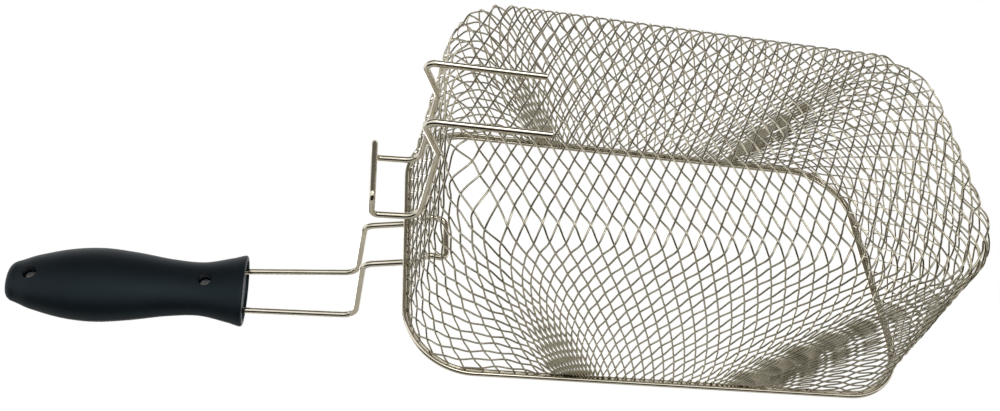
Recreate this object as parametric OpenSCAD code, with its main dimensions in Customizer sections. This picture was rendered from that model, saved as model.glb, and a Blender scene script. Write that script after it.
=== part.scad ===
// Deep-fryer basket: woven-mesh bowl clamped between two rim wires, a drain hook
// bent from one wire, and a wire handle with a two-piece screwed grip.
// +Z up with the basket mouth upwards, X along the basket, handle towards -X.
// The origin is the middle of the floor's underside.

/* [Basket] */
// Length between the centres of the outer rim wire
rim_len = 241; // [200:1:280]
// Width between the centres of the outer rim wire
rim_wid = 135; // [110:1:160]
// Height of the outer rim wire above the floor's underside
depth = 100; // [80:1:130]
// Distance from the middle to the front end's mesh just above the floor fold
base_front = 112; // [95:0.5:119]
// Distance from the middle to the handle end's mesh just above the floor fold
base_back = 116.5; // [110:0.5:119]
// Width over the mesh just above the floor fold
base_wid = 123; // [100:1:132]
// Outer radius of the upright corners
corner_r = 30; // [24:1:36]
// Outer radius of the fold between floor and walls
fold_r = 7; // [6:0.5:12]

/* [Mesh] */
// Thickness of the mesh sheet
mesh_t = 1.0; // [0.8:0.1:1.2]
// Short diagonal of a mesh cell
cell_short = 6.4; // [5:0.1:9]
// Long diagonal of a mesh cell
cell_long = 12.0; // [9:0.1:16]
// Width of metal between two neighbouring cells
strand = 0.9; // [0.8:0.1:1.4]

/* [Rim] */
// Diameter of the outer rim wire
outer_rim_d = 2.2; // [1.8:0.1:3]
// Diameter of the inner rim wire
inner_rim_d = 1.8; // [1.4:0.1:2.4]

/* [Drain hook] */
// Diameter of the hook wire
hook_d = 2.8; // [2.4:0.1:3.2]
// Distance between the hook's two arms
hook_spacing = 30.6; // [24:0.2:40]
// Length of the two prongs under the floor
prong_len = 50.2; // [30:0.2:60]
// Height of the arms above the floor's underside
arm_z = 60.4; // [50:0.2:70]
// How far the crossbar stands out from the mesh
arm_reach = 23.2; // [18:0.2:28]
// Drop of the crossbar below the arms
hook_drop = 11.2; // [8:0.2:16]

/* [Handle] */
// Diameter of the handle wire
handle_d = 3.0; // [2.6:0.1:3.4]
// Distance between the two handle wires where they cross the rim
rim_gap = 21.6; // [18:0.2:26]
// Distance between the two handle wires at the top of the riser
riser_gap = 25.0; // [20:0.2:28]
// Distance between the two handle wires where they enter the grip
grip_gap = 22.4; // [20:0.2:26]
// Height that the riser lifts the handle above the rim
riser_h = 44.8; // [30:0.2:60]

/* [Grip] */
// Length of the grip
grip_len = 112; // [100:1:130]
// Height of the front end's centre above the floor's underside
grip_z = 158.5; // [140:0.1:180]
// Distance of the front end from the middle of the basket
grip_front = 193; // [180:1:210]
// Slope of the grip, tail end up
grip_tilt = 3.4; // [0:0.1:8]
// Wall thickness of the two shells
shell_t = 2.4; // [2:0.1:3]
// Distance of the front screw from the front end
front_screw = 19; // [17:0.5:24]
// Distance of the rear screw from the front end
rear_screw = 100.5; // [96:0.5:102]

/* [Hidden] */

NICKEL = [0.80, 0.77, 0.70];
BLACK = [0.07, 0.07, 0.08];
$fn = 48;

// Half sizes of the mesh's outer face where the walls begin and where they end
base_y = base_wid / 2;
base_mid = (base_front - base_back) / 2;
base_half = (base_front + base_back) / 2;
mouth_x = rim_len / 2 - outer_rim_d / 2;
mouth_y = rim_wid / 2 - outer_rim_d / 2;
sheet_gap = 0.2; // from the sheet's top edge up to the outer rim wire's centre
wall_h = depth - sheet_gap - fold_r;
lean_front = atan((mouth_x - base_front) / wall_h);
lean_back = atan((mouth_x - base_back) / wall_h);
lean_y = atan((mouth_y - base_y) / wall_h);
flat_r = corner_r - fold_r;

// Cell hole: the cell shrunk by the metal between two cells
cell_side = norm([cell_short, cell_long]) / 2;
hole_k = 1 - strand * 2 * cell_side / (cell_short * cell_long);

// ---------- mesh sheet ----------

module cell_hole(k = hole_k) {
    polygon([[cell_short / 2 * k, 0], [0, cell_long / 2 * k],
        [-cell_short / 2 * k, 0], [0, -cell_long / 2 * k]]);
}

// All whole cells between y0 and y1 that fit, at each height, in the half width given
// about the middle given. The lattice itself stays centred on x = 0.
module cell_rows(half0, half1, y0, y1, corner = 0, mid0 = 0, mid1 = 0) {
    rows = floor((y1 - y0) / cell_long * 2) - 1;
    start = (y0 + y1) / 2 - (rows - 1) * cell_long / 4;
    for (row = [0 : rows - 1]) {
        y = start + row * cell_long / 2;
        shift = (row + (rows - 1) / 2 + 1) % 2 == 0 ? 0 : cell_short / 2;
        rise = (y - y0) / (y1 - y0);
        mid = mid0 + (mid1 - mid0) * rise;
        cut = max(0, corner - min(y - y0, y1 - y) + cell_long / 3);
        room = half0 + (half1 - half0) * rise - min(cut, corner) * 0.6 - cell_short / 2;
        for (i = [ceil((mid - room - shift) / cell_short) : floor((mid + room - shift) / cell_short)])
            translate([i * cell_short + shift, y]) cell_hole();
    }
}

module rounded_plate(x, y, r) {
    square([2 * x, 2 * (y - r)], center = true);
    square([2 * (x - r), 2 * y], center = true);
    for (sx = [-1, 1], sy = [-1, 1]) translate([sx * (x - r), sy * (y - r)]) circle(r);
}

module mesh_floor() {
    x = base_half - fold_r;
    y = base_y - fold_r;
    color(NICKEL) linear_extrude(mesh_t) difference() {
        translate([base_mid, 0]) rounded_plate(x, y, flat_r);
        cell_rows(x, x, -y, y, flat_r, base_mid, base_mid);
    }
}

// Flat wall in the XY plane, its foot on the X axis and its outer face at z = 0. The middle
// of its foot is at x = mid.
module wall(half_foot, half_top, lean, mid = 0) {
    h = wall_h / cos(lean);
    translate([0, 0, -mesh_t]) linear_extrude(mesh_t) difference() {
        polygon([[mid - half_foot, 0], [mid + half_foot, 0], [half_top, h], [-half_top, h]]);
        cell_rows(half_foot - strand, half_top - strand, strand, h - strand, 0, mid, 0);
    }
}

// Side wall on the +Y side
module side_wall() {
    translate([0, base_y, fold_r]) rotate([90 - lean_y, 0, 0]) mirror([0, 0, 1])
        wall(base_half - corner_r, mouth_x - corner_r, lean_y, base_mid);
}

// End wall on the +X side, its foot at x = base
module end_wall(base, lean) {
    translate([base, 0, fold_r]) rotate([0, 0, -90]) rotate([90 - lean, 0, 0]) mirror([0, 0, 1])
        wall(base_y - corner_r, mouth_y - corner_r, lean);
}

module mesh_side_left() { color(NICKEL) side_wall(); }
module mesh_side_right() { color(NICKEL) mirror([0, 1, 0]) side_wall(); }
module mesh_end_front() { color(NICKEL) end_wall(base_front, lean_front); }
module mesh_end_handle() { color(NICKEL) mirror([1, 0, 0]) end_wall(base_back, lean_back); }

// Quarter of the sheet's cross section, rounding from the floor up to a wall
module fold_profile() {
    intersection() {
        difference() {
            circle(fold_r);
            circle(fold_r - mesh_t);
        }
        translate([0, -fold_r]) square(fold_r);
    }
}

// Fold strip along X at the +Y side, from x = from to x = to, with one row of cells
module fold_strip(from, to, y) {
    squeeze = 0.7 * fold_r * 2 / cell_long;
    room = cell_short / 2 + strand / 2;
    difference() {
        translate([from, y - fold_r, fold_r]) rotate([90, 0, 90]) linear_extrude(to - from) fold_profile();
        translate([0, y - fold_r, fold_r]) rotate([180 + 45, 0, 0])
            translate([0, 0, fold_r - 3]) linear_extrude(6)
            for (i = [ceil((from + room) / cell_short) : floor((to - room) / cell_short)])
                translate([i * cell_short, 0]) scale([1, squeeze]) cell_hole();
    }
}

module side_fold() { fold_strip(corner_r - base_back, base_front - corner_r, base_y); }
module mesh_fold_left() { color(NICKEL) side_fold(); }
module mesh_fold_right() { color(NICKEL) mirror([0, 1, 0]) side_fold(); }
module mesh_fold_front() {
    color(NICKEL) rotate([0, 0, -90]) fold_strip(corner_r - base_y, base_y - corner_r, base_front);
}
module mesh_fold_handle() {
    color(NICKEL) rotate([0, 0, 90]) fold_strip(corner_r - base_y, base_y - corner_r, base_back);
}

// Corner in the +X +Y quarter, of an end whose foot is at x = base: a leaning quarter tube
// on a quarter of a rounded dish
module corner(base) {
    foot = [base - corner_r, base_y - corner_r];
    head = [mouth_x - corner_r, mouth_y - corner_r];
    run = [head[0] - foot[0], head[1] - foot[1], wall_h];
    h = norm(run);
    rows = 6;
    pitch = (h - 4) / rows;
    translate([foot[0], foot[1], 0]) {
        rotate_extrude(angle = 90) translate([flat_r, fold_r]) fold_profile();
        translate([0, 0, fold_r]) orient(run / h) difference() {
            translate([0, 0, -strand / 4]) rotate_extrude(angle = 90)
                translate([corner_r - mesh_t, 0]) square([mesh_t, h + strand / 4]);
            for (row = [0 : rows - 1], column = [0 : 5])
                rotate([0, 0, 7.5 + 15 * column])
                    translate([corner_r - 3, 0, 2 + pitch * (row + 0.5)])
                    rotate([90, 0, 90]) linear_extrude(6)
                    scale([1.05, 1.05]) cell_hole();
        }
    }
}

module mesh_corner_front_left() { color(NICKEL) corner(base_front); }
module mesh_corner_front_right() { color(NICKEL) mirror([0, 1, 0]) corner(base_front); }
module mesh_corner_handle_left() { color(NICKEL) mirror([1, 0, 0]) corner(base_back); }
module mesh_corner_handle_right() { color(NICKEL) rotate([0, 0, 180]) corner(base_back); }

// ---------- wires ----------

function unit(v) = v / norm(v);

// Straight legs are this much slimmer than the bends, and run this far into them
shy = 0.01;
lap = 0.1;

// Turns +Z to the direction z, keeping +X as near to the x given as it can
module orient(z, x = [1, 0, 0]) {
    side = unit(cross(z, x));
    across = cross(side, z);
    multmatrix([[across[0], side[0], z[0], 0], [across[1], side[1], z[1], 0],
        [across[2], side[2], z[2], 0], [0, 0, 0, 1]]) children();
}

module rod(from, to, r) {
    dir = unit(to - from);
    translate(from) orient(dir, abs(dir[0]) > 0.9 ? [0, 1, 0] : [1, 0, 0])
        cylinder(r = r, h = norm(to - from));
}

// Length that the bend at point i of the route p takes from each leg beside it
function cut(p, b, i) = i <= 0 || i >= len(p) - 1 ? 0 :
    b[i] * tan(acos(unit(p[i] - p[i - 1]) * unit(p[i + 1] - p[i])) / 2);

// Bends a round wire leg by leg along the route p, with a bend of radius b[i] at point i,
// as a wire bender does: feed, roll, bend. side is the direction of the wire's own X.
module bent_wire(p, b, r, i = 0, side = [1, 0, 0]) {
    leg = norm(p[i + 1] - p[i]) - cut(p, b, i) - cut(p, b, i + 1);
    u = unit(p[i + 1] - p[i]);
    from = i == 0 ? 0 : lap;
    translate([0, 0, -from]) cylinder(r = r - shy, h = leg + from + (i < len(p) - 2 ? lap : 0));
    if (i < len(p) - 2) {
        v = unit(p[i + 2] - p[i + 1]);
        turn = acos(u * v);
        inward = unit(v - u * (u * v));
        roll = atan2(inward * cross(u, side), inward * side);
        bend = b[i + 1];
        translate([0, 0, leg]) rotate([0, 0, roll]) {
            translate([bend, 0, 0]) rotate([90, 0, 180])
                rotate_extrude(angle = turn) translate([bend, 0]) circle(r);
            translate([bend * (1 - cos(turn)), 0, bend * sin(turn)]) rotate([0, turn, 0])
                bent_wire(p, b, r, i + 1, inward * cos(turn) - u * sin(turn));
        }
    }
}

// A wire that is the same on both sides: the route p starts on the plane y = 0 and goes to +Y
module mirrored_wire(p, b, r) {
    for (flip = [0, 1]) mirror([0, flip, 0])
        translate(p[0]) orient([0, 1, 0]) bent_wire(p, b, r);
}

// Closed rounded rectangle of wire, lying flat
module rim_ring(x, y, r, wire_r) {
    for (s = [-1, 1]) {
        rod([-(x - r + lap), s * y, 0], [x - r + lap, s * y, 0], wire_r - shy);
        rod([s * x, -(y - r + lap), 0], [s * x, y - r + lap, 0], wire_r - shy);
    }
    for (quarter = [0 : 3])
        translate([(quarter == 0 || quarter == 3 ? 1 : -1) * (x - r), (quarter < 2 ? 1 : -1) * (y - r), 0])
            rotate([0, 0, 90 * quarter]) rotate_extrude(angle = 90) translate([r, 0]) circle(wire_r);
}

module rim_outer_wire() {
    color(NICKEL) translate([0, 0, depth])
        rim_ring(rim_len / 2, rim_wid / 2, corner_r + outer_rim_d / 2, outer_rim_d / 2);
}

// The inner wire sits a little higher, on the sheet's edge and against the outer wire
inner_rise = 0.75;
module rim_inner_wire() {
    touch = (outer_rim_d + inner_rim_d) / 2 + 0.01;
    inset = sqrt(touch * touch - inner_rise * inner_rise) - outer_rim_d / 2;
    color(NICKEL) translate([0, 0, depth + inner_rise])
        rim_ring(mouth_x - inset, mouth_y - inset, corner_r - inset, inner_rim_d / 2);
}

// Outer face of the handle end's wall at a height, as a distance from the middle
function end_face(z) = base_back + (z - fold_r) * tan(lean_back);

// Route of the hook wire, from the middle of its crossbar to the prong's tip under the floor
hook_r = hook_d / 2;
hook_y = hook_spacing / 2;
nose_out = 10.7;
knee_z = 16.6;
arm_rise = 1.2;
crossbar_x = end_face(arm_z) + arm_reach - hook_r;
hook_route = [[-crossbar_x - 0.8, 0, arm_z - hook_drop],
    [-crossbar_x - 0.8, hook_y, arm_z - hook_drop],
    [-crossbar_x, hook_y, arm_z + arm_rise],
    [-(end_face(arm_z) + hook_r + 0.1), hook_y, arm_z],
    [-(end_face(knee_z) + hook_r + 0.1), hook_y, knee_z],
    [-(base_back + nose_out), hook_y, -hook_r],
    [-(base_back + nose_out - prong_len), hook_y, -hook_r]];
hook_bends = [0, 3, 3, 7, 8, 3, 0];

module drain_hook_wire() {
    color(NICKEL) mirrored_wire(hook_route, hook_bends, hook_r);
}

// Route of the handle wire, from the middle of the bar inside the basket to the grip's tail
handle_r = handle_d / 2;
over_rim = depth + inner_rise + inner_rim_d / 2 + handle_r;
riser_x = rim_len / 2 + 18.3;
riser_foot = depth + 8.5;
riser_head = riser_foot + riser_h;
inside_y = 8.6;
wire_end = 89;
grip_dir = [-cos(grip_tilt), 0, sin(grip_tilt)];
function in_grip(along, y) = [-grip_front, y, grip_z] + grip_dir * along;
handle_route = [[-rim_len / 2 + 18.8, 0, depth - 2],
    [-rim_len / 2 + 18.8, rim_gap / 2, depth - 2],
    [-rim_len / 2 + 10.6, rim_gap / 2, depth - 3.8],
    [-rim_len / 2 + 3.4, rim_gap / 2, over_rim - 0.2],
    [-riser_x, rim_gap / 2, riser_foot],
    [-riser_x + 0.3, riser_gap / 2, riser_head],
    in_grip(0, grip_gap / 2),
    in_grip(13, inside_y),
    in_grip(wire_end, inside_y),
    in_grip(wire_end, 0.6)];
handle_bends = [0, 3.4, 3, 3, 5, 7, 10, 10, 4, 0];

module handle_wire() {
    color(NICKEL) mirrored_wire(handle_route, handle_bends, handle_r);
}

// ---------- grip ----------

// Half width of the grip at distances from its front end
GRIP_WIDTH = [[0, 19.4], [7, 17.6], [21, 14.5], [36, 15.3], [54, 18.2],
    [70, 19.7], [85, 18.3], [100, 14.3], [112, 10.4]];
flatness = 0.65;
flatness_inside = 0.59;
end_round = 5;
lip_round = 1.4;
stations = 22;

function slope_at(t, i) = i <= 0 || i >= len(t) - 1 ? 0 :
    (t[i + 1][1] - t[i - 1][1]) / (t[i + 1][0] - t[i - 1][0]);
function segment_of(t, u, i = 0) = i >= len(t) - 2 || u <= t[i + 1][0] ? i : segment_of(t, u, i + 1);
// Smooth curve through the points of t
function smooth(t, u) = let (i = segment_of(t, u), w = t[i + 1][0] - t[i][0],
    s = min(1, max(0, (u - t[i][0]) / w)))
    t[i][1] * (1 + 2 * s) * pow(1 - s, 2) + slope_at(t, i) * w * s * pow(1 - s, 2)
    + t[i + 1][1] * s * s * (3 - 2 * s) + slope_at(t, i + 1) * w * s * s * (s - 1);
function half_width(u) = smooth(GRIP_WIDTH, u * 112 / grip_len);
// How much a rounded end of radius r pulls the side in, a distance d from that end
function pull_in(d, r) = d >= r ? 0 : r - sqrt(r * r - pow(r - max(d, 0), 2));

// Body of the grip, pulled in by t all round, with x as the distance from its front end
module grip_body(t = 0, flat = flatness) {
    scale([1, 1, flat]) rotate([0, 90, 0]) rotate_extrude() polygon(concat([[0, t]],
        [for (k = [0 : stations]) let (u = t + (grip_len - 2 * t) * (1 - cos(180 * k / stations)) / 2)
            [half_width(u) - t - pull_in(u - t, lip_round) - pull_in(grip_len - t - u, end_round), u]],
        [[0, grip_len - t]]));
}

// Puts a grip drawn with x as the distance from its front end in its place
module place_grip() {
    translate([-grip_front, 0, grip_z]) multmatrix([[grip_dir[0], 0, grip_dir[2], 0],
        [0, -1, 0, 0], [grip_dir[2], 0, -grip_dir[0], 0], [0, 0, 0, 1]]) children();
}

screw_r = 1.5;
head_r = 2.7;
head_h = 1.9;
recess_r = 3.3;
seat_w = -2.6;
boss_r = 4.8;
thread_top = 6.5;
SCREWS = [front_screw, rear_screw];

// The space that the handle wire takes, from the front face to its end
module wire_space() {
    clear = handle_r + 0.05;
    for (s = [-1, 1]) {
        rod([-1, s * (grip_gap / 2 + 0.2), 0], [13, s * inside_y, 0], clear);
        rod([12.6, s * inside_y, 0], [wire_end + 1, s * inside_y, 0], clear);
    }
    rod([wire_end, -inside_y, 0], [wire_end, inside_y, 0], clear);
}

// One half of the grip: side is 1 above the wire and -1 below it
module grip_half(side) {
    difference() {
        intersection() {
            grip_body();
            translate([-1, -30, side > 0 ? 0 : -40]) cube([grip_len + 2, 60, 40]);
        }
        difference() {
            grip_body(shell_t, flatness_inside);
            for (u = SCREWS) translate([u, 0, -40]) cylinder(r = boss_r, h = 80);
        }
        wire_space();
        for (u = SCREWS) translate([u, 0, -40]) {
            cylinder(r = screw_r + 0.05, h = 40 + thread_top);
            if (side < 0) cylinder(r = recess_r, h = 40 + seat_w);
        }
    }
}

module grip_upper_shell() { color(BLACK) place_grip() grip_half(1); }
module grip_lower_shell() { color(BLACK) place_grip() grip_half(-1); }

// Self-tapping screw with a cross slot, driven in from below
module grip_screw(u) {
    slot = [3.2, 0.7];
    color(NICKEL) place_grip() translate([u, 0, seat_w]) difference() {
        union() {
            translate([0, 0, -head_h]) cylinder(r = head_r, h = head_h);
            cylinder(r = screw_r, h = thread_top - seat_w - 0.5);
        }
        for (turn = [0, 90]) rotate([0, 0, turn + 20])
            translate([-slot[0] / 2, -slot[1] / 2, -head_h - 1]) cube([slot[0], slot[1], 1 + head_h / 2]);
    }
}

module grip_screw_front() { grip_screw(front_screw); }
module grip_screw_rear() { grip_screw(rear_screw); }

mesh_floor();
mesh_side_left();
mesh_side_right();
mesh_end_front();
mesh_end_handle();
mesh_fold_left();
mesh_fold_right();
mesh_fold_front();
mesh_fold_handle();
mesh_corner_front_left();
mesh_corner_front_right();
mesh_corner_handle_left();
mesh_corner_handle_right();
rim_outer_wire();
rim_inner_wire();
drain_hook_wire();
handle_wire();
grip_upper_shell();
grip_lower_shell();
grip_screw_front();
grip_screw_rear();
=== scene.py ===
"""Looks of the deep-fryer basket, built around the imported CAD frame.

The wire cloth is woven here: a net of two families of wires is laid over the basket's
form, keeping every wire's length, and each crossing then shears as far as it needs to.
"""

import math

import bmesh
import bpy
import numpy as np
from mathutils import Matrix, Vector


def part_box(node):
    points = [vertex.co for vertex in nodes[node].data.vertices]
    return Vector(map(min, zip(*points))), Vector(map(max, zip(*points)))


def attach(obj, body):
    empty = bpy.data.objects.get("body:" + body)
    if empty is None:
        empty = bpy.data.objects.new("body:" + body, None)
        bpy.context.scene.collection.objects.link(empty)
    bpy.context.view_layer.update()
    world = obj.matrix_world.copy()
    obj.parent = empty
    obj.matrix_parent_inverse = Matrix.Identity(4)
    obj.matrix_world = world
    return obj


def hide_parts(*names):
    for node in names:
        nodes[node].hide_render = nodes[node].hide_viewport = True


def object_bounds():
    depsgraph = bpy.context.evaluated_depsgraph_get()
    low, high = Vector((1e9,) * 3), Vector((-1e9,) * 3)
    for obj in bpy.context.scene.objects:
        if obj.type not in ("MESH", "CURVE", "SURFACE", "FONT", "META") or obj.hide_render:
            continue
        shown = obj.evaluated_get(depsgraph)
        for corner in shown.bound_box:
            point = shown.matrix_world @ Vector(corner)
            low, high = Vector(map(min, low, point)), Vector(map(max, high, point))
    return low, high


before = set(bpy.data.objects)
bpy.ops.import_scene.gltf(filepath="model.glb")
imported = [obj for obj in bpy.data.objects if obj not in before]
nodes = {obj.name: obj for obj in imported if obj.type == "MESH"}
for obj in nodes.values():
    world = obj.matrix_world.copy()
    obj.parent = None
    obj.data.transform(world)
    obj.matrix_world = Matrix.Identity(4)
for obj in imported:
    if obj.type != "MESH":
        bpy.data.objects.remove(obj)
cad_box = [list(corner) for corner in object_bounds()]
scene = bpy.context.scene
MM = 0.001


# ---------- small helpers ----------


def box_mm(node):
    low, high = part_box(node)
    return np.array(low) / MM, np.array(high) / MM


def new_mesh(name, points_mm, faces, smooth=True):
    mesh = bpy.data.meshes.new(name)
    mesh.from_pydata((np.asarray(points_mm) * MM).tolist(), [], faces)
    mesh.validate()
    mesh.update()
    if smooth:
        mesh.polygons.foreach_set("use_smooth", [True] * len(mesh.polygons))
    obj = bpy.data.objects.new(name, mesh)
    scene.collection.objects.link(obj)
    return obj


class Nodes:
    """Builds a node tree: add() makes a node, sets its sockets and links its inputs."""

    def __init__(self, tree):
        self.tree = tree
        tree.nodes.clear()

    def add(self, kind, settings=None, **inputs):
        node = self.tree.nodes.new(kind)
        for key, value in (settings or {}).items():
            setattr(node, key, value)
        for key, value in inputs.items():
            socket = node.inputs[int(key[1:])] if key[0] == "_" else node.inputs[key.replace("_", " ")]
            if isinstance(value, bpy.types.NodeSocket):
                self.tree.links.new(value, socket)
            else:
                socket.default_value = value
        return node


def set_ramp(node, stops):
    ramp = node.color_ramp
    while len(ramp.elements) > 1:
        ramp.elements.remove(ramp.elements[-1])
    for i, (at, colour) in enumerate(stops):
        stop = ramp.elements[0] if i == 0 else ramp.elements.new(at)
        stop.position = at
        stop.color = (*colour, 1) if len(colour) == 3 else colour


# ---------- materials ----------


def nickel(name, colour, dark, rough, grain=900.0, mottle=70.0, bump=0.05):
    """Bright nickel plate: patches of deeper tint, and fine drawing marks in the gloss."""
    material = bpy.data.materials.new(name)
    material.use_nodes = True
    make = Nodes(material.node_tree)
    where = make.add("ShaderNodeTexCoord").outputs["Object"]
    patches = make.add("ShaderNodeTexNoise", None, Vector=where, Scale=mottle, Detail=3.0, Roughness=0.6)
    fine = make.add("ShaderNodeTexNoise", None, Vector=where, Scale=grain, Detail=2.0)
    tint = make.add("ShaderNodeValToRGB", None, Fac=patches.outputs["Fac"])
    set_ramp(tint, [(0.35, dark), (0.62, colour)])
    gloss = make.add("ShaderNodeMapRange", None, Value=fine.outputs["Fac"], To_Min=rough * 0.7,
                     To_Max=rough * 1.5)
    relief = make.add("ShaderNodeBump", None, Strength=bump, Distance=0.0002, Height=fine.outputs["Fac"])
    shader = make.add(
        "ShaderNodeBsdfPrincipled", None, Base_Color=tint.outputs["Color"], Metallic=1.0,
        Roughness=gloss.outputs["Result"], Normal=relief.outputs["Normal"],
    )
    make.add("ShaderNodeOutputMaterial", None, Surface=shader.outputs["BSDF"])
    return material


def plastic(name):
    """Moulded satin black plastic with a fine spark texture."""
    material = bpy.data.materials.new(name)
    material.use_nodes = True
    make = Nodes(material.node_tree)
    where = make.add("ShaderNodeTexCoord").outputs["Object"]
    grain = make.add("ShaderNodeTexNoise", None, Vector=where, Scale=2600.0, Detail=3.0, Roughness=0.65)
    cloud = make.add("ShaderNodeTexNoise", None, Vector=where, Scale=60.0, Detail=2.0)
    tint = make.add("ShaderNodeValToRGB", None, Fac=cloud.outputs["Fac"])
    set_ramp(tint, [(0.3, (0.0022, 0.0036, 0.0052)), (0.7, (0.0036, 0.0056, 0.0078))])
    gloss = make.add("ShaderNodeMapRange", None, Value=cloud.outputs["Fac"], To_Min=0.40, To_Max=0.50)
    relief = make.add("ShaderNodeBump", None, Strength=0.18, Distance=0.0001, Height=grain.outputs["Fac"])
    shader = make.add(
        "ShaderNodeBsdfPrincipled", None, Base_Color=tint.outputs["Color"], Specular_IOR_Level=0.28,
        Specular_Tint=(0.62, 0.86, 1.0, 1),
        Roughness=gloss.outputs["Result"], Normal=relief.outputs["Normal"],
    )
    make.add("ShaderNodeOutputMaterial", None, Surface=shader.outputs["BSDF"])
    return material


wire_metal = nickel("nickel_wire", (0.76, 0.71, 0.60), (0.64, 0.59, 0.47), 0.09)
# The cloth is the same nickel as the wires. Its base colour is set darker and browner as painted shade and
# painted inter-reflection among the dense wires.
mesh_metal_painted_shade = nickel("nickel_mesh", (0.52, 0.485, 0.39), (0.41, 0.375, 0.28), 0.15)
screw_metal = nickel("screw_steel", (0.62, 0.61, 0.60), (0.45, 0.44, 0.43), 0.25)
black_plastic = plastic("grip_plastic")


def dress(obj, material):
    obj.data.materials.clear()
    obj.data.materials.append(material)


for name in ("rim_outer_wire", "rim_inner_wire", "drain_hook_wire", "handle_wire"):
    dress(nodes[name], wire_metal)
for name in ("grip_screw_front", "grip_screw_rear"):
    dress(nodes[name], screw_metal)

# ---------- form of the basket ----------

SHEET = 1.0
CORNER_R = 30 - SHEET / 2
FOLD_R = 7 - SHEET / 2
FLOOR_Z = SHEET / 2
ends_low = np.array([box_mm("mesh_fold_handle")[0][0], box_mm("mesh_end_handle")[0][0]])
ends_high = np.array([box_mm("mesh_fold_front")[1][0], box_mm("mesh_end_front")[1][0]])
sides_high = np.array([box_mm("mesh_fold_left")[1][1], box_mm("mesh_side_left")[1][1]])
RISE = box_mm("mesh_end_front")[1][2] - FOLD_R - FLOOR_Z


def wall_of(foot_and_mouth):
    """Where a wall's middle surface would stand on the floor, and how far it leans."""
    foot, mouth = np.abs(foot_and_mouth) - SHEET / 2
    lean = (mouth - foot) / RISE
    return foot - lean * FOLD_R, lean


(HANDLE_FOOT, HANDLE_LEAN), (FRONT_FOOT, FRONT_LEAN), (SIDE_FOOT, SIDE_LEAN) = (
    wall_of(pair) for pair in (ends_low, ends_high, sides_high))


def from_corner(p, height):
    """How far p lies outside the straight parts of the walls, along x and along y."""
    at_handle = p[..., 0] < 0
    lean = np.stack([np.where(at_handle, HANDLE_LEAN, FRONT_LEAN), np.full(p.shape[:-1], SIDE_LEAN)], -1)
    foot = np.stack([np.where(at_handle, HANDLE_FOOT, FRONT_FOOT), np.full(p.shape[:-1], SIDE_FOOT)], -1)
    return np.abs(p[..., :2]) - (foot + lean * height - CORNER_R), lean


def form(p):
    """Signed distance from the mesh's middle surface and its outward normal, at points p."""
    z = p[..., 2] - FLOOR_Z
    q, lean = from_corner(p, z[..., None])
    out = np.maximum(q, 0)
    reach = np.linalg.norm(out, axis=-1)
    wall = reach + np.minimum(q.max(-1), 0) - CORNER_R
    first = q[..., 0] > q[..., 1]
    flat = np.stack([first, ~first], -1).astype(float)
    g2 = np.where(reach[..., None] > 1e-9, out / np.maximum(reach, 1e-9)[..., None], flat)
    gz = -(g2 * lean).sum(-1)
    g2 = g2 * np.where(p[..., :2] < 0, -1.0, 1.0)
    w = np.stack([wall + FOLD_R, FOLD_R - z], -1)
    up = np.maximum(w, 0)
    size = np.linalg.norm(up, axis=-1)
    distance = size + np.minimum(w.max(-1), 0) - FOLD_R
    steeper = w[..., 0] > w[..., 1]
    c = np.where(size[..., None] > 1e-9, up / np.maximum(size, 1e-9)[..., None],
                 np.stack([steeper, ~steeper], -1).astype(float))
    normal = np.concatenate([c[..., :1] * g2, (c[..., 0] * gz - c[..., 1])[..., None]], -1)
    normal /= np.maximum(np.linalg.norm(normal, axis=-1, keepdims=True), 1e-9)
    return distance, normal


# ---------- wire cloth ----------

CELL = np.array([6.2, 12.3])
HALF_GRID = 56
BLANK = (232.0, 180.0)
CLOTH_WIRE_R = 0.40
CRIMP = 0.9
TOP_Z = 100.6
FRONT_POLE = (82.0, 31.0)
HANDLE_POLE = (70.0, 15.0)
PRESSED = (110.0, 75.0)
PRESSED_EDGE = 12.0
PRESSED_PULL = 0.3
SHUT_FROM = 2.3
SHUT_OVER = 0.7
SHUT_EXTRA_R = 0.09

span = np.arange(-HALF_GRID, HALF_GRID + 1)
grid_a, grid_b = np.meshgrid(span, span, indexing="ij")
flat_x = (grid_a - grid_b) * CELL[0] / 2
flat_y = (grid_a + grid_b) * CELL[1] / 2
in_blank = (np.abs(flat_x) <= BLANK[0]) & (np.abs(flat_y) <= BLANK[1])


def lay_down(x, y, steps=400):
    """First guess: the flat cloth is carried over the form along upright sections. They
    run straight across the walls, and fan out from a pole of each corner."""
    side_x, side_y = np.where(x < 0, -1.0, 1.0), np.where(y < 0, -1.0, 1.0)
    pole_x = np.where(x < 0, HANDLE_POLE[0], FRONT_POLE[0])
    pole_y = np.where(x < 0, HANDLE_POLE[1], FRONT_POLE[1])
    ax, ay = np.abs(x), np.abs(y)
    in_corner = (ax > pole_x) & (ay > pole_y)
    from_x = np.where(in_corner, pole_x, np.where(ax <= pole_x, ax, 0))
    from_y = np.where(in_corner, pole_y, np.where(ax <= pole_x, 0, ay))
    far = np.hypot(ax - from_x, ay - from_y)
    c = side_x * (ax - from_x) / np.maximum(far, 1e-9)
    s = side_y * (ay - from_y) / np.maximum(far, 1e-9)
    from_x, from_y, step = from_x * side_x, from_y * side_y, far / steps

    def in_space(out, z):
        return np.stack([from_x + out * c, from_y + out * s, z], -1)

    out, z = np.zeros_like(x), np.full_like(x, FLOOR_Z)
    go_out, go_up = np.ones_like(x), np.zeros_like(x)
    for _ in range(steps):
        out, z = out + go_out * step, z + go_up * step
        distance, normal = form(in_space(out, z))
        n_out, n_up = normal[..., 0] * c + normal[..., 1] * s, normal[..., 2]
        size = np.maximum(np.hypot(n_out, n_up), 0.2)
        out, z = out - distance * n_out / size**2, z - distance * n_up / size**2
        go_out, go_up = -n_up / size, n_out / size
    return in_space(out, z)


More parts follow.
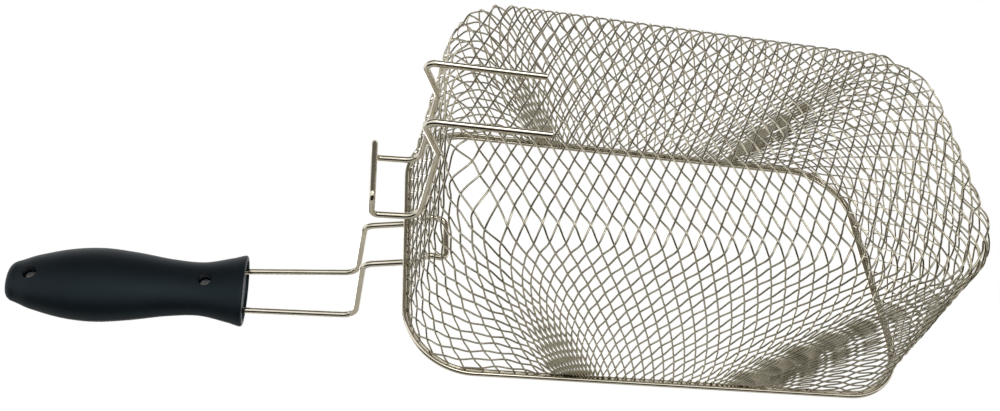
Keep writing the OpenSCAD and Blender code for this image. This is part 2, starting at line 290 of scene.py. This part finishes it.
def drape(p, mask, passes, shear=(0.1, 0.01), bend=(0.4, 0.05), closest=1.5):
    """Keeps every wire's length between crossings while the cells shear, and keeps the
    crossings on the form. The flat floor stays as it was woven, and the cells at the front
    corners are pressed shut."""
    side = np.hypot(*CELL) / 2
    woven = np.stack([flat_x, flat_y, np.full_like(flat_x, FLOOR_Z)], -1)
    q = from_corner(woven, 0)[0]
    reach = np.linalg.norm(np.maximum(q, 0), axis=-1) + np.minimum(q.max(-1), 0) - CORNER_R
    held = mask & (reach < -FOLD_R - 0.5)
    count = p.shape[0]
    lower, upper = slice(None, -1), slice(1, None)
    legs = []
    for axis in (0, 1):
        a = (lower, slice(None)) if axis == 0 else (slice(None), lower)
        b = (upper, slice(None)) if axis == 0 else (slice(None), upper)
        parity = np.arange(count - 1) % 2
        parity = parity[:, None] if axis == 0 else parity[None, :]
        legs += [(a, b, mask[a] & mask[b] & (parity == k)) for k in (0, 1)]
    cell_x = (flat_x[upper, lower] + flat_x[lower, upper]) / 2
    cell_y = (flat_y[upper, lower] + flat_y[lower, upper]) / 2
    pressed = np.clip((cell_x - PRESSED[0]) / PRESSED_EDGE, 0, 1)
    pressed = pressed * np.clip((np.abs(cell_y) - PRESSED[1]) / PRESSED_EDGE, 0, 1)
    across = [((upper, lower), (lower, upper), CELL[0] + (closest - CELL[0]) * pressed),
              ((lower, lower), (upper, upper), CELL[1] + (2 * side - CELL[1]) * pressed)]
    for k in range(passes):
        ease = shear[0] + (shear[1] - shear[0]) * k / passes
        for a, b, chosen in legs:
            gap = p[b] - p[a]
            length = np.linalg.norm(gap, axis=-1)
            move = np.where(chosen, (length - side) / np.maximum(length, 1e-9) / 2, 0)[..., None] * gap
            p[a] += move
            p[b] -= move
        for a, b, rest in across:
            gap = p[b] - p[a]
            length = np.linalg.norm(gap, axis=-1)
            want = np.where(length < closest, closest, length + (rest - length) * (ease + PRESSED_PULL * pressed))
            pull = np.where(mask[a] & mask[b], (length - want) / np.maximum(length, 1e-9) / 4, 0)
            move = np.zeros_like(p)
            move[a] += pull[..., None] * gap
            move[b] -= pull[..., None] * gap
            p += move
        stiff = bend[0] + (bend[1] - bend[0]) * k / passes
        for axis in (0, 1):
            r = np.moveaxis(p, axis, 0)
            m = np.moveaxis(mask, axis, 0)
            straight = (r[:-2] + r[2:]) / 2 - r[1:-1]
            whole = m[:-2] & m[1:-1] & m[2:]
            r[1:-1] += np.where(whole, stiff, 0)[..., None] * straight
        distance, normal = form(p)
        p -= distance[..., None] * normal
        p[held] = woven[held]
    return p


crossings = lay_down(np.where(in_blank, flat_x, 0), np.where(in_blank, flat_y, 0))
crossings = drape(crossings, in_blank, 1800)
out_normal = form(crossings)[1]
cell_gap = np.linalg.norm(crossings[1:, :-1] - crossings[:-1, 1:], axis=-1)
cell_gap = np.pad(cell_gap, 1, constant_values=CELL[0])
tightest = np.minimum(np.minimum(cell_gap[:-1, :-1], cell_gap[1:, 1:]),
                      np.minimum(cell_gap[1:, :-1], cell_gap[:-1, 1:]))
# Where cells close up the wires are drawn thicker than they are, so that the cloth reads as dense
crossing_r = CLOTH_WIRE_R + SHUT_EXTRA_R * np.clip((SHUT_FROM - tightest) / SHUT_OVER, 0, 1)


def runs(line, family):
    """Stretches of one wire between the rims, as (points, normals, over or under, radii)."""
    pick = (line, slice(None)) if family == 0 else (slice(None), line)
    p, n, m, r = crossings[pick], out_normal[pick], in_blank[pick], crossing_r[pick]
    sign = np.where((grid_a[pick] + grid_b[pick]) % 2 == 0, 1.0, -1.0) * (1 if family == 0 else -1)
    inside = m & (p[:, 2] < TOP_Z)
    out = []
    k = 0
    while k < len(p):
        if inside[k]:
            start = k
            while k < len(p) and inside[k]:
                k += 1
            keep = np.arange(max(start - 1, 0), min(k + 1, len(p)))
            keep = keep[m[keep]]
            if len(keep) > 3:
                out.append((p[keep], n[keep], sign[keep], r[keep]))
        k += 1
    return out


def wire_path(p, n, over, r, steps=5):
    """Smooth path through the crossings, standing out and in by turns as it is woven."""
    count = len(p)
    spots = np.linspace(0, count - 1, (count - 1) * steps + 1)
    seg = np.minimum(spots.astype(int), count - 2)
    t = (spots - seg)[:, None]
    before = np.where(seg > 0, seg - 1, seg)
    after = np.where(seg + 2 < count, seg + 2, seg + 1)
    a, b, c, d = p[before], p[seg], p[seg + 1], p[after]
    path = 0.5 * (2 * b + (c - a) * t + (2 * a - 5 * b + 4 * c - d) * t**2 + (3 * b - a - 3 * c + d) * t**3)
    normal = n[seg] * (1 - t) + n[seg + 1] * t
    normal /= np.linalg.norm(normal, axis=1, keepdims=True)
    wave = (over[seg][:, None] * np.cos(math.pi * t)) * CLOTH_WIRE_R * CRIMP
    path = path + normal * wave
    keep = path[:, 2] < TOP_Z
    first, last = np.argmax(keep), len(keep) - np.argmax(keep[::-1])
    thick = np.interp(spots, np.arange(count), r)
    return path[first:last], normal[first:last], thick[first:last]


def tube(path, normal, r, sides):
    """Points and faces of a closed tube along a path, of the radii given."""
    along = np.gradient(path, axis=0)
    along /= np.linalg.norm(along, axis=1, keepdims=True)
    across = np.cross(along, normal)
    across /= np.linalg.norm(across, axis=1, keepdims=True)
    up = np.cross(across, along)
    turn = 2 * math.pi * np.arange(sides) / sides
    ring = np.cos(turn)[None, :, None] * across[:, None] + np.sin(turn)[None, :, None] * up[:, None]
    points = (path[:, None] + r[:, None, None] * ring).reshape(-1, 3)
    count = len(path)
    k = np.arange(count - 1)[:, None] * sides
    j = np.arange(sides)[None, :]
    nxt = (j + 1) % sides
    quads = np.stack([k + j, k + nxt, k + nxt + sides, k + j + sides], -1).reshape(-1, 4)
    caps = [list(range(sides))[::-1], [(count - 1) * sides + i for i in range(sides)]]
    return points, quads.tolist() + caps


def weave(name, family):
    points, faces, base = [], [], 0
    for line in range(crossings.shape[0]):
        for p, n, over, r in runs(line, family):
            path, normal, thick = wire_path(p, n, over, r)
            if len(path) < 6:
                continue
            pts, quads = tube(path, normal, thick, 8)
            points.append(pts)
            faces += [[v + base for v in face] for face in quads]
            base += len(pts)
    obj = new_mesh(name, np.concatenate(points), faces)
    dress(obj, mesh_metal_painted_shade)
    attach(obj, "root")
    return obj


MESH_NODES = [name for name in nodes if name.startswith("mesh_")]
cloth_a = weave("wire_cloth_a", 0)
cloth_b = weave("wire_cloth_b", 1)
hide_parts(*MESH_NODES)
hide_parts(*MESH_NODES)

# ---------- grip ----------

GRIP_LENGTH = 112.0
HALF_WIDTHS = [(0, 19.4), (7, 17.6), (21, 14.5), (36, 15.3), (54, 18.2), (70, 19.7), (85, 18.3), (100, 14.3),
               (112, 10.1)]
GRIP_FLATNESS = 0.65
GRIP_TILT = math.radians(3.4)
TAIL_ROUND = 3.6
LIP_ROUND = 1.4
PARTING = 0.12
LEDGE_WIDTH = 1.7
LEDGE_DEPTH = 1.2
RECESS_R = 3.3
RECESS_SEAT = 2.6
BELOW_GRIP = 20.0
SCREW_PLACES = (19.0, 100.5)


def half_width(u):
    """Smooth curve through HALF_WIDTHS."""
    at, wide = np.array(HALF_WIDTHS, float).T
    slope = np.zeros(len(at))
    slope[1:-1] = (wide[2:] - wide[:-2]) / (at[2:] - at[:-2])
    i = np.clip(np.searchsorted(at, u, side="right") - 1, 0, len(at) - 2)
    h = at[i + 1] - at[i]
    t = (u - at[i]) / h
    return (wide[i] * (1 + 2 * t) * (1 - t) ** 2 + slope[i] * h * t * (1 - t) ** 2
            + wide[i + 1] * t**2 * (3 - 2 * t) + slope[i + 1] * h * t**2 * (t - 1))


def pull_in(d, r):
    return r - np.sqrt(r**2 - (r - np.clip(d, 0, r)) ** 2)


def grip_points(u, across, up):
    """Points of the grip, from the distance along it, across it and above its wires."""
    c, s = math.cos(GRIP_TILT), math.sin(GRIP_TILT)
    return np.stack([-u * c + up * s, across, u * s + up * c], -1)


def grip_half(name, side, stations=150, around=56):
    """One half of the grip as a smooth closed solid. side is 1 above the wires, -1 below."""
    t = np.linspace(0, 1, stations)
    u = GRIP_LENGTH * (0.5 - 0.5 * np.cos(math.pi * t))
    wide = half_width(u) - pull_in(u, LIP_ROUND) - pull_in(GRIP_LENGTH - u, TAIL_ROUND)
    mouth = wide[0] - LEDGE_WIDTH
    u = np.concatenate([[LEDGE_DEPTH, LEDGE_DEPTH * 0.2, 0, 0], u])
    wide = np.concatenate([[mouth - 0.25, mouth, mouth + 0.25, wide[0] - 0.3], wide])
    turn = np.linspace(0, math.pi, around)
    across = wide[:, None] * np.cos(turn)
    up = side * (PARTING + (GRIP_FLATNESS * wide[:, None] - PARTING) * np.sin(turn))
    points = grip_points(np.repeat(u[:, None], around, 1), across, up).reshape(-1, 3)
    rows = len(u)
    faces = []
    for k in range(rows - 1):
        for j in range(around - 1):
            quad = [k * around + j, k * around + j + 1, (k + 1) * around + j + 1, (k + 1) * around + j]
            faces.append(quad if side > 0 else quad[::-1])
    mouth_cap = list(range(around))
    tail_cap = [(rows - 1) * around + j for j in range(around)]
    seam = [k * around for k in range(rows)] + [k * around + around - 1 for k in range(rows)][::-1]
    faces += [mouth_cap[::-1], tail_cap, seam] if side > 0 else [mouth_cap, tail_cap[::-1], seam[::-1]]
    return points, faces, name


def cut_round(obj, u, r, seat, move):
    """Sinks a round recess into the underside."""
    sides = 48
    turn = 2 * math.pi * np.arange(sides) / sides
    points = np.concatenate([grip_points(u + r * np.cos(turn), r * np.sin(turn), np.full(sides, -h))
                             for h in (seat, BELOW_GRIP)]) + move
    faces = [[j, (j + 1) % sides, sides + (j + 1) % sides, sides + j] for j in range(sides)]
    faces += [list(range(sides))[::-1], [sides + j for j in range(sides)]]
    tool = new_mesh("recess_tool", points, faces, smooth=False)
    tidy = bmesh.new()
    tidy.from_mesh(tool.data)
    bmesh.ops.recalc_face_normals(tidy, faces=tidy.faces)
    tidy.to_mesh(tool.data)
    tidy.free()
    cut = obj.modifiers.new("cut", "BOOLEAN")
    cut.object = tool
    cut.operation = "DIFFERENCE"
    cut.solver = "EXACT"
    bpy.context.view_layer.update()
    mesh = bpy.data.meshes.new_from_object(obj.evaluated_get(bpy.context.evaluated_depsgraph_get()))
    obj.modifiers.clear()
    obj.data = mesh
    bpy.data.objects.remove(tool)


def build_grip():
    """Both halves, set where the CAD's grip is."""
    halves = [grip_half("grip_upper_half", 1), grip_half("grip_lower_half", -1)]
    drawn = np.concatenate([points for points, _, _ in halves])
    boxes = [box_mm(name) for name in ("grip_upper_shell", "grip_lower_shell")]
    low = np.minimum(boxes[0][0], boxes[1][0])
    high = np.maximum(boxes[0][1], boxes[1][1])
    fit = ((high - low) / (drawn.max(0) - drawn.min(0))).min()
    move = (low + high - fit * (drawn.min(0) + drawn.max(0))) / 2
    for (points, faces, name), node in zip(halves, ("grip_upper_shell", "grip_lower_shell")):
        half = new_mesh(name, fit * points + move, faces)
        if name == "grip_lower_half":
            for u in SCREW_PLACES:
                cut_round(half, u, RECESS_R, RECESS_SEAT, move)
        half.data.polygons.foreach_set("use_smooth", [True] * len(half.data.polygons))
        half.data.set_sharp_from_angle(angle=math.radians(35))
        dress(half, black_plastic)
        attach(half, "root")
        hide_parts(node)


build_grip()

# ---------- camera, floor and light ----------

EYE = Vector((-0.16619, 0.25728, -0.27818))
RIGHT = Vector((0.97727, 0.03899, -0.20838))
UP = Vector((-0.09141, -0.80940, -0.58010))
BACK = Vector((-0.19128, 0.58596, -0.78744))
camera = bpy.data.objects.new("camera", bpy.data.cameras.new("camera"))
camera.data.sensor_width = 36
camera.data.lens = 35.206
camera.data.clip_start = 0.01
camera.data.clip_end = 20
camera.matrix_world = Matrix.Translation(EYE) @ Matrix((RIGHT, UP, BACK)).transposed().to_4x4()
scene.collection.objects.link(camera)
scene.camera = camera


def floor_material():
    """White floor. From below, and to light that passes through it, it isn't there."""
    material = bpy.data.materials.new("floor_white")
    material.use_nodes = True
    make = Nodes(material.node_tree)
    paint = make.add("ShaderNodeBsdfDiffuse", None, Color=(0.93, 0.93, 0.93, 1))
    clear = make.add("ShaderNodeBsdfTransparent")
    under = make.add("ShaderNodeNewGeometry").outputs["Backfacing"]
    passing = make.add("ShaderNodeLightPath").outputs["Is Shadow Ray"]
    gone = make.add("ShaderNodeMath", {"operation": "MAXIMUM"}, _0=under, _1=passing)
    shader = make.add("ShaderNodeMixShader", None, Fac=gone.outputs[0], _1=paint.outputs[0],
                      _2=clear.outputs[0])
    make.add("ShaderNodeOutputMaterial", None, Surface=shader.outputs[0])
    return material


floor_z = cad_box[0][2] / MM - 0.05
FLOOR_HALF = 1600.0
floor = new_mesh("floor", [(-FLOOR_HALF, -FLOOR_HALF, floor_z), (FLOOR_HALF, -FLOOR_HALF, floor_z),
                           (FLOOR_HALF, FLOOR_HALF, floor_z), (-FLOOR_HALF, FLOOR_HALF, floor_z)],
                 [[0, 1, 2, 3]], smooth=False)
dress(floor, floor_material())
floor.visible_glossy = False


def studio_world():
    """White to the camera, in reflections and through glass. Matt surfaces get a soft
    studio light from it, warmer and dimmer from below."""
    world = bpy.data.worlds.new("studio")
    scene.world = world
    world.use_nodes = True
    make = Nodes(world.node_tree)
    way = make.add("ShaderNodeTexCoord").outputs["Generated"]
    height = make.add("ShaderNodeVectorMath", {"operation": "DOT_PRODUCT"}, _0=way, _1=(0, 0, 1))
    height = height.outputs["Value"]
    level = make.add("ShaderNodeMapRange", None, Value=height, From_Min=-1.0, From_Max=1.0)
    soft = make.add("ShaderNodeValToRGB", None, Fac=level.outputs["Result"])
    set_ramp(soft, [(0.0, (0.60, 0.59, 0.57)), (0.5, (0.80, 0.80, 0.80)), (1.0, (0.95, 0.96, 0.98))])
    studio = make.add("ShaderNodeBackground", None, Color=soft.outputs["Color"], Strength=1.0)
    white = make.add("ShaderNodeBackground", None, Color=(1, 1, 1, 1), Strength=1.0)
    light = make.add("ShaderNodeLightPath").outputs
    seen = light["Is Camera Ray"]
    for ray in ("Is Glossy Ray", "Is Transmission Ray"):
        seen = make.add("ShaderNodeMath", {"operation": "MAXIMUM"}, _0=seen, _1=light[ray]).outputs[0]
    shader = make.add("ShaderNodeMixShader", None, Fac=seen, _1=studio.outputs[0], _2=white.outputs[0])
    make.add("ShaderNodeOutputWorld", None, Surface=shader.outputs[0])


studio_world()


def backdrop_card(name, turn, spread, colour, sweep=(-70, 70), reach=1.4):
    """A curved studio card that stands out of the picture and shows in the metal only.
    turn is its angle from the camera's side, over the top of the picture."""
    lift = math.radians(turn)
    points, faces = [], []
    rows, columns = 12, 16
    for i in range(rows + 1):
        a = lift + math.radians(spread) * (2 * i / rows - 1)
        for j in range(columns + 1):
            b = math.radians(sweep[0] + (sweep[1] - sweep[0]) * j / columns)
            way = math.cos(b) * (math.cos(a) * BACK + math.sin(a) * UP) + math.sin(b) * RIGHT
            points.append((middle + reach * way) / MM)
    for i in range(rows):
        for j in range(columns):
            k = i * (columns + 1) + j
            faces.append([k, k + 1, k + columns + 2, k + columns + 1])
    card = new_mesh(name, points, faces)
    material = bpy.data.materials.new(name)
    material.use_nodes = True
    make = Nodes(material.node_tree)
    glow = make.add("ShaderNodeEmission", None, Color=(*colour, 1), Strength=1.0)
    make.add("ShaderNodeOutputMaterial", None, Surface=glow.outputs[0])
    dress(card, material)
    for ray in ("camera", "diffuse", "transmission", "shadow"):
        setattr(card, "visible_" + ray, False)


middle = Vector((-0.05, 0, 0.06))
backdrop_card("dark_front", -31, 29, (0.018, 0.018, 0.018), sweep=(-62, 75))
backdrop_card("dim_ceiling", 84, 32, (0.14, 0.135, 0.125), sweep=(-55, 75))
backdrop_card("grey_table", -105, 44, (0.50, 0.49, 0.46), sweep=(-70, 75))
backdrop_card("softbox", 27, 23, (1.2, 1.19, 1.17), sweep=(-22, 50), reach=1.3)


def lamp(name, at, aim, size, power):
    data = bpy.data.lights.new(name, "AREA")
    data.shape = "DISK"
    data.size = size
    data.energy = power
    obj = bpy.data.objects.new(name, data)
    obj.location = at
    obj.rotation_euler = (Vector(aim) - Vector(at)).to_track_quat("-Z", "Y").to_euler()
    scene.collection.objects.link(obj)


lamp("key", middle + 1.1 * (0.82 * BACK + 0.57 * UP + 0.3 * RIGHT), middle, 0.4, 1.5)
lamp("top", middle + Vector((-0.3, -0.5, 1.2)), middle, 0.7, 4)

scene.view_settings.view_transform = "Standard"
